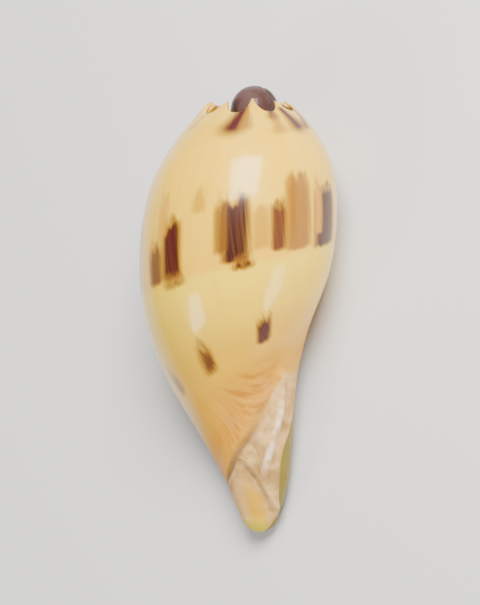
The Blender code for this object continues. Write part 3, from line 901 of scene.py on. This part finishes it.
# Own depths in millimetres and growth angles in degrees, and colours as seen on a screen
shellFinish = {
    "ground": [
        (0, (225, 179, 106)), (12, (232, 193, 113)), (35, (238, 199, 104)), (62, (236, 197, 104)),
        (98, (230, 189, 100)), (104, (240, 209, 117)), (128, (236, 201, 109)), (150, (226, 183, 89)),
        (168, (214, 168, 88)), (182, (202, 150, 82)), (194, (198, 154, 98)),
    ],
    "groundLength": 200.0,
    "groundSway": 5.0,
    "tan": (142, 104, 54),
    "gold": (214, 158, 74),
    "maroon": (66, 32, 26),
    "purple": (54, 24, 22),
    "brown": (90, 60, 50),
    "mauve": (124, 94, 92),
    "orange": (184, 134, 72),
    "fasciole": (186, 152, 110),
    "fascioleLight": (212, 182, 142),
    "tongue": (206, 172, 134),
    "tongueOchre": (208, 166, 78),
    # olive: painted shade on the strip's cream glaze at the front end
    "glaze": (118, 106, 52),
    "pillar": (236, 214, 182),
    "whorl": (62, 42, 36),
    "whorlGrey": (88, 74, 72),
    # olive-brown painted shade on the ramp inside the crown, behind the spines
    "ramp": (128, 108, 66),
    "lining": (238, 204, 160),
    "liningLip": (228, 172, 122),
    "liningLines": (236, 200, 160),
    "grains": {
        # fineness across the growth lines and along them, detail
        "fine": (1.1, 0.018, 4.0),
        "middle": (0.28, 0.012, 3.0),
        "drift": (0.24, 0.09, 2.0),
    },
    "clouds": {
        # fineness, detail, roughness
        "cloud": (28.0, 3.0, 0.5),
        "patch": (75.0, 3.0, 0.5),
        "chalk": (160.0, 5.0, 0.6),
    },
    "washes": {
        # colour, limits of what the wash follows, strength
        "growthShade": ((222, 178, 100), (0.45, 0.75), 0.28),
        "growthLines": ((214, 166, 92), (0.55, 0.72), 0.16),
        "paleCloud": ((246, 220, 160), (0.50, 0.75), 0.25),
        "darkArc": ((146, 102, 52), (0.46, 0.64), 0.55),
        "paleArc": ((224, 176, 100), (0.54, 0.64), 0.30),
        "fascioleDark": ((140, 114, 86), (0.50, 0.68), 0.70),
        "greenTip": ((206, 196, 98), (184.0, 193.0), 0.85),
        # painted shade in the crease along the step of the notch's arch
        "crease": ((120, 100, 86), (76.0, 92.0), 0.55),
        # painted shade along the fasciole's rim, where it meets the body
        "border": ((150, 128, 108), (128.0, 150.0), 0.35),
        # painted shade in the hollow beside the fold over the arch
        "fold": ((140, 112, 84), (78.0, 90.0, 138.0, 156.0), 0.45),
        # painted shade in the groove between the body and the fasciole
        "groove": ((112, 92, 78), (132.0, 156.0, 170.0, 175.0), 0.75),
        # the keel's pale shell, whitened in patches as a painted highlight
        "keel": ((250, 232, 204), (120.0, 126.0, 158.0, 170.0), 0.75),
        "stain": ((168, 146, 72), (155.0, 160.0, 166.0, 172.0), 0.80),
        "whorlDark": ((42, 27, 25), (0.50, 0.66), 0.70),
    },
    "limits": {
        # Two limits of a soft rise, or four of a rise and a fall, and for a line how near it
        "arcOwn": (158.0, 172.0, 192.0, 200.0),
        "arcFront": (55.0, 80.0, 122.0, 150.0),
        "halo": (0.02, 0.45),
        "core": (0.12, 0.92),
        "fascioleMix": (0.35, 0.65),
        "fascioleEdge": (0.3, 0.7),
        "fascioleRim": (0.08, 0.45, 0.55, 0.92),
        "tonguePast": (3.0, 12.0),
        "ochreFront": (104.0, 150.0),
        "ochreDepth": (164.0, 178.0),
        "creaseNear": (0.1, 1.0),
        "foldNear": (0.1, 1.5),
        "foldEdge": (0.4, 0.9),
        "grooveNear": (0.5, 15.0),
        "keelNear": (2.0, 9.0),
        "keelPatch": (0.44, 0.56),
        "stainChalk": (0.52, 0.62),
        "stainFront": (66.0, 72.0, 84.0, 92.0),
        "pillarTurn": (-290.0, -245.0),
        "glazeDepth": (95.0, 125.0),
        "whorlMix": (0.35, 0.65),
        "rampEdge": (0.05, 0.45),
        "whorlEdge": (0.62, 0.88),
        "liningTurn": (-120.0, -10.0),
        "liningGrain": (0.5, 0.72),
        "liningEdge": (0.3, 0.8),
        "mattEdge": (0.3, 0.7),
        "whorlMatt": (0.6, 0.9),
        "lowMatt": (158.0, 176.0),
        "lowCoat": (154.0, 172.0),
        "roughEdge": (0.3, 0.8),
        "roughWhorl": (0.5, 1.0),
    },
    "arcGrain": (0.36, 0.030, 2.5, 0.55),
    "arcGround": (0.25, 0.5),
    "tongueShare": 0.9,
    "ochreSway": 20.0,
    "tipSway": 3.0,
    "creaseShadeSway": 0.8,
    "fascioleSway": 0.4,
    "foldAside": 1.0,
    "foldSway": 1.4,
    "grooveAside": -3.0,
    "lineSway": 8.0,
    "keelShare": (0.15, 0.85),
    "glazeShare": (0.45, 0.5),
    "rampShare": (0.55, 0.6),
    "liningShare": 0.25,
    "blotchSides": (0.30, 3.6),
    "blotchTop": (-6.0, 10.0),
    "blotchFoot": (-2.6, 2.4),
    "blotchSway": (3.6, 20.0, 5.0),
    "haloShare": 0.60,
    "coreShare": (0.84, 0.26),
    "blotches": [
        # middle angle, half width, top, foot, colour, strength
        (-97.5, 6.6, 66, 99, "maroon", 1.0),
        (-98.5, 9.0, 97, 104, "brown", 0.85),
        (-115.0, 4.5, 50, 66, "tan", 0.45),
        (-90.0, 3.0, 50, 76, "gold", 0.55),
        (-84.0, 6.5, 76, 100, "brown", 0.75),
        (-137.2, 8.4, 58, 98, "purple", 1.0),
        (-128.0, 3.0, 58, 92, "maroon", 0.60),
        (-141.5, 7.0, 96, 103.5, "maroon", 0.95),
        (-152.0, 6.5, 64, 94, "tan", 0.45),
        (-163.0, 4.2, 64, 96, "brown", 0.95),
        (-177.0, 9.5, 50, 98, "tan", 1.0),
        (-202.0, 13.5, 59, 101, "purple", 1.0),
        (-194.0, 3.0, 55, 92, "gold", 0.7),
        (-155.0, 5.4, 135, 152, "maroon", 0.95),
        (-108.0, 3.2, 142, 152, "maroon", 0.9),
        (-107.0, 8.0, 135, 155, "brown", 0.55),
        (-20.0, 6.0, 62, 99, "maroon", 0.95),
        (-55.0, 8.0, 60, 100, "purple", 0.9),
        (-43.0, 4.0, 50, 94, "tan", 0.6),
        (-245.0, 7.0, 62, 99, "purple", 0.95),
        (-262.0, 5.0, 56, 96, "tan", 0.6),
        (-285.0, 6.0, 64, 98, "maroon", 0.95),
        (-325.0, 8.0, 60, 100, "purple", 0.9),
        (-34.0, 5.0, 136, 153, "maroon", 0.9),
        (-66.0, 5.0, 138, 152, "brown", 0.55),
        (-225.0, 5.0, 135, 152, "maroon", 0.9),
        (-305.0, 6.0, 136, 152, "brown", 0.8),
    ],
    "shoulderScale": 0.42,
    "streakSway": 1.6,
    "streakWidening": (0.55, 0.75),
    "streakSides": (0.10, 1.9),
    "streaks": [
        # from angle and own depth, to angle and own depth, half width, colour, strength
        (-141.5, -0.5, -134.5, 6.5, 1.7, "mauve", 0.95),
        (-135.0, 5.0, -127.0, 17.0, 3.6, "maroon", 1.0),
        (-139.5, 6.0, -139.5, 16.5, 1.8, "tan", 0.75),
        (-166.5, 3.0, -167.5, 11.0, 2.0, "maroon", 1.0),
        (-168.0, 10.0, -171.0, 20.0, 2.2, "tan", 0.7),
        (-183.5, 7.0, -193.5, 18.0, 3.2, "maroon", 1.0),
        (-90.0, 3.0, -81.0, 15.0, 1.2, "purple", 0.35),
        (-60.0, 1.0, -48.0, 17.0, 2.0, "maroon", 0.9),
        (-22.0, 3.0, -12.0, 18.0, 2.0, "maroon", 0.8),
        (-219.0, 1.0, -209.0, 18.0, 2.0, "maroon", 0.9),
        (-258.0, 1.0, -250.0, 17.0, 1.9, "maroon", 0.9),
        (-297.0, 1.0, -289.0, 17.0, 1.8, "maroon", 0.85),
    ],
}
shellGloss = {
    "roughness": 0.34,
    "grain": 0.06,
    "fascioleMatt": 0.08,
    "whorlMatt": 0.20,
    "lowMatt": 0.09,
    "coat": 0.85,
    "mattLoss": 2.4,
    "glazeLoss": 0.60,
    "lowLoss": 0.55,
    "grainHeight": 0.20,
    "chalkHeight": 2.4,
    "whorlChalk": 0.4,
    "bump": {"Strength": 0.55, "Distance": 0.0006},
    "fixed": {
        "Specular IOR Level": 0.15,
        "Coat Roughness": 0.13,
        "Coat IOR": 1.42,
        "Sheen Weight": 0.02,
        "Sheen Roughness": 0.35,
        "Sheen Tint": (1.0, 0.90, 0.92, 1.0),
    },
}


def shade(name):
    return tint(*shellFinish[name])


class ShellPaint(Paint):
    # The maps, zones and noises that the layers of the shell's finish read
    def __init__(self, name):
        super().__init__(name)
        self.angle, self.own = self.map("growthMap")
        self.line, self.past = self.map("lineMap")
        self.front, self.depth = self.map("poleMap")
        self.offKeel, self.offGroove = self.map("edgeMap")
        self.offFold = self.map("foldMap")[0]
        zones = self.node("Attribute", {"attribute_name": "zones"})
        parts = [self.node("SeparateColor", None, {"Color": zones}, k) for k in range(3)]
        self.fasciole, self.inside, self.glaze = parts
        self.dome = self.node("Attribute", {"attribute_name": "zones"}, None, 3)
        grains = [self.grain(*grain) for grain in shellFinish["grains"].values()]
        self.fine, self.middle, self.drift = grains
        spot = self.node("TexCoord", None, None, 3)
        clouds = [self.noise(spot, *cloud) for cloud in shellFinish["clouds"].values()]
        self.cloud, self.patch, self.chalk = clouds

    def grain(self, across, along, detail):
        # Noise drawn out along the growth lines
        return self.noise(self.point(self.line * across, self.own * along), 1.0, detail)

    def over(self, name, value):
        return self.span(value, shellFinish["limits"][name])

    def beside(self, name, distance):
        return self.near(distance, *shellFinish["limits"][name])

    def wash(self, colour, name, value, where=1.0):
        # Lay a named wash over a colour, as far as what it follows lies within its limits.
        tone, limits, strength = shellFinish["washes"][name]
        return self.mix(self.span(value, limits) * where * strength, colour, tint(*tone))


def groundColour(paint):
    length = shellFinish["groundLength"]
    stops = [(at / length, tint(*colour)) for at, colour in shellFinish["ground"]]
    along = (paint.own + paint.sway(paint.middle, shellFinish["groundSway"])) / length
    colour = paint.node("ValToRGB", {"stops": stops}, {"Fac": along})
    colour = paint.wash(colour, "growthShade", paint.middle)
    colour = paint.wash(colour, "growthLines", paint.fine)
    return paint.wash(colour, "paleCloud", paint.cloud)


def addCrescents(paint, colour):
    # Darker and paler arcs in the low orange zone
    low = paint.over("arcOwn", paint.own) * paint.over("arcFront", paint.front)
    across, along, detail, roughness = shellFinish["arcGrain"]
    bend = (paint.front - shellRelief["crescentMiddle"]) ** 2.0 * (shellRelief["crescentBend"] * 1000)
    spot = paint.point((paint.depth + bend) * across, paint.front * along)
    arcs = paint.noise(spot, 1.0, detail, roughness)
    ground = paint.share(paint.cloud, *shellFinish["arcGround"])
    colour = paint.mix(low * ground, colour, shade("orange"))
    colour = paint.wash(colour, "darkArc", arcs, low)
    return paint.wash(colour, "paleArc", 1 - arcs, low)


def addBlotches(paint, colour):
    # Each blotch has streaky sides, a soft top, a clean foot and a tan halo.
    sideSway, topSway, footSway = shellFinish["blotchSway"]
    across = paint.angle + paint.sway(paint.fine, sideSway)
    down = paint.own + paint.sway(paint.drift, topSway)
    low = paint.own + paint.sway(paint.drift, footSway)
    streaky = paint.share(paint.fine, *shellFinish["coreShare"])
    inner, outer = shellFinish["blotchSides"]
    for middle, half, top, foot, tone, strength in shellFinish["blotches"]:
        sides = paint.near(across - middle, half * inner, half + outer)
        upper = paint.rise(down, *[top + limit for limit in shellFinish["blotchTop"]])
        lower = 1 - paint.rise(low, *[foot + limit for limit in shellFinish["blotchFoot"]])
        mask = sides * upper * lower * strength
        halo = paint.over("halo", mask) * shellFinish["haloShare"] * min(1.0, strength + 0.1)
        colour = paint.mix(halo, colour, shade("tan"))
        colour = paint.mix(paint.over("core", mask) * streaky, colour, shade(tone))
    return colour


def addStreaks(paint, colour):
    # Each streak is soft all round a straight run on the shoulder, and wider at its lower end.
    scale = shellFinish["shoulderScale"]  # millimetres for one degree
    inner, outer = shellFinish["streakSides"]
    wander = paint.sway(paint.middle, shellFinish["streakSway"])
    for fromAngle, fromOwn, toAngle, toOwn, half, tone, strength in shellFinish["streaks"]:
        runX = (toAngle - fromAngle) * scale
        runY = toOwn - fromOwn
        x = (paint.angle - fromAngle) * scale + wander
        y = paint.own - fromOwn
        along = (x * runX + y * runY) / (runX * runX + runY * runY)
        along = paint.node("Clamp", None, {"Value": along})
        off = paint.maths("SQRT", (x - along * runX) ** 2.0 + (y - along * runY) ** 2.0)
        off = off / paint.share(along, *shellFinish["streakWidening"])
        mask = (1 - paint.rise(off, half * inner, half * outer)) * strength
        colour = paint.mix(mask, colour, shade(tone))
    return colour


def tongueColour(paint):
    # Pinkish ivory past the notch's arch, ochre in its middle and green at the tip
    ochre = 1 - paint.over("ochreFront", paint.front + paint.sway(paint.patch, shellFinish["ochreSway"]))
    ochre = ochre * paint.over("ochreDepth", paint.depth)
    tongue = paint.mix(ochre, shade("tongue"), shade("tongueOchre"))
    return paint.wash(tongue, "greenTip", paint.depth + paint.sway(paint.patch, shellFinish["tipSway"]))


def addFasciole(paint, colour):
    # Chalky ivory with darker patches, and painted shade along the crease where the tongue begins
    base = paint.mix(paint.over("fascioleMix", paint.chalk), shade("fasciole"), shade("fascioleLight"))
    base = paint.wash(base, "fascioleDark", paint.patch)
    past = paint.over("tonguePast", paint.past) * shellFinish["tongueShare"]
    base = paint.mix(past, base, tongueColour(paint))
    crease = paint.beside("creaseNear", paint.past + paint.sway(paint.chalk, shellFinish["creaseShadeSway"]))
    base = paint.wash(base, "crease", paint.front, crease)
    edge = paint.fasciole + paint.sway(paint.chalk, shellFinish["fascioleSway"])
    return paint.mix(paint.over("fascioleEdge", edge), colour, base)


def addFrontLines(paint, colour):
    # Painted shade along the fasciole's rim, beside the fold over the arch and in the groove, a painted
    # highlight on the pale keel, and an olive stain
    finish = shellFinish
    colour = paint.wash(colour, "border", paint.depth, paint.over("fascioleRim", paint.fasciole))
    # painted shade in the hollow beside the fold over the notch's arch
    offFold = paint.offFold + finish["foldAside"] + paint.sway(paint.chalk, finish["foldSway"])
    fold = paint.beside("foldNear", offFold) * paint.over("foldEdge", paint.fasciole)
    colour = paint.wash(colour, "fold", paint.front, fold)
    # painted shade in the groove between the body and the fasciole
    wander = paint.sway(paint.chalk, finish["lineSway"])
    groove = paint.beside("grooveNear", paint.offGroove + finish["grooveAside"] + wander)
    colour = paint.wash(colour, "groove", paint.depth, groove)
    # the pale keel whitened in patches as a painted highlight
    broken = paint.share(paint.over("keelPatch", paint.patch), *finish["keelShare"])
    keel = paint.beside("keelNear", paint.offKeel + wander) * broken * (1 - paint.glaze)
    colour = paint.wash(colour, "keel", paint.depth, keel)
    stain = paint.over("stainChalk", paint.chalk) * paint.over("stainFront", paint.front)
    return paint.wash(colour, "stain", paint.depth, stain)


def addGlaze(paint, colour):
    # The smooth strip is cream on the pillar further back; at the front end its cream is painted olive, as
    # painted shade.
    strip = paint.mix(1 - paint.over("pillarTurn", paint.angle), shade("glaze"), shade("pillar"))
    low = paint.share(paint.over("glazeDepth", paint.depth), *shellFinish["glazeShare"])
    return paint.mix(paint.glaze * low, colour, strip)


def addWhorls(paint, colour):
    # Olive-brown painted shade on the ramp inside the crown, and the first whorls
    whorl = paint.mix(paint.over("whorlMix", paint.cloud), shade("whorl"), shade("whorlGrey"))
    whorl = paint.wash(whorl, "whorlDark", paint.patch)
    ramp = paint.over("rampEdge", paint.dome) * paint.share(paint.cloud, *shellFinish["rampShare"])
    colour = paint.mix(ramp, colour, shade("ramp"))
    return paint.mix(paint.over("whorlEdge", paint.dome), colour, whorl)


def addLining(paint, colour):
    # Pale orange inside, deeper towards the lip, with faint growth lines
    lining = paint.mix(1 - paint.over("liningTurn", paint.line), shade("lining"), shade("liningLip"))
    lines = paint.over("liningGrain", paint.fine) * shellFinish["liningShare"]
    lining = paint.dye(lines, lining, shade("liningLines"))
    return paint.mix(paint.over("liningEdge", paint.inside), colour, lining)


def addGloss(paint):
    # A clear glaze over the body, duller on the fasciole, the low zone and the first whorls
    gloss = shellGloss
    inputs = paint.shader.inputs
    bare = (1 - paint.glaze) * (1 - paint.inside)
    matt = paint.over("mattEdge", paint.fasciole) * (1 - paint.glaze) * gloss["fascioleMatt"]
    matt = matt + paint.over("whorlMatt", paint.dome) * gloss["whorlMatt"]
    matt = matt + paint.over("lowMatt", paint.own) * bare * gloss["lowMatt"]
    worn = paint.over("lowCoat", paint.own) * bare * gloss["lowLoss"]
    paint.feed(inputs["Roughness"], gloss["roughness"] + paint.fine * gloss["grain"] + matt)
    coat = gloss["coat"] - matt * gloss["mattLoss"] - paint.glaze * gloss["glazeLoss"] - worn
    paint.feed(inputs["Coat Weight"], coat)
    for name, value in gloss["fixed"].items():
        inputs[name].default_value = value
    rough = paint.over("roughWhorl", paint.dome) * gloss["whorlChalk"]
    rough = rough + paint.over("roughEdge", paint.fasciole)
    height = paint.fine * (1 - paint.inside) * gloss["grainHeight"]
    height = height + paint.chalk * rough * gloss["chalkHeight"]
    paint.feed(inputs["Normal"], paint.node("Bump", None, {**gloss["bump"], "Height": height}))


def shellMaterial():
    paint = ShellPaint("glazed shell")
    colour = groundColour(paint)
    layers = [addCrescents, addBlotches, addStreaks, addFasciole, addFrontLines]
    for layer in layers + [addGlaze, addWhorls, addLining]:
        colour = layer(paint, colour)
    paint.feed(paint.shader.inputs["Base Color"], colour)
    addGloss(paint)
    print("finish:", len(paint.tree.nodes), "nodes")
    return paint.material


piece, shift = makeShell()
piece.data.materials.append(shellMaterial())
makeCamera(shift)
makeFloor()
makeLights(shift)
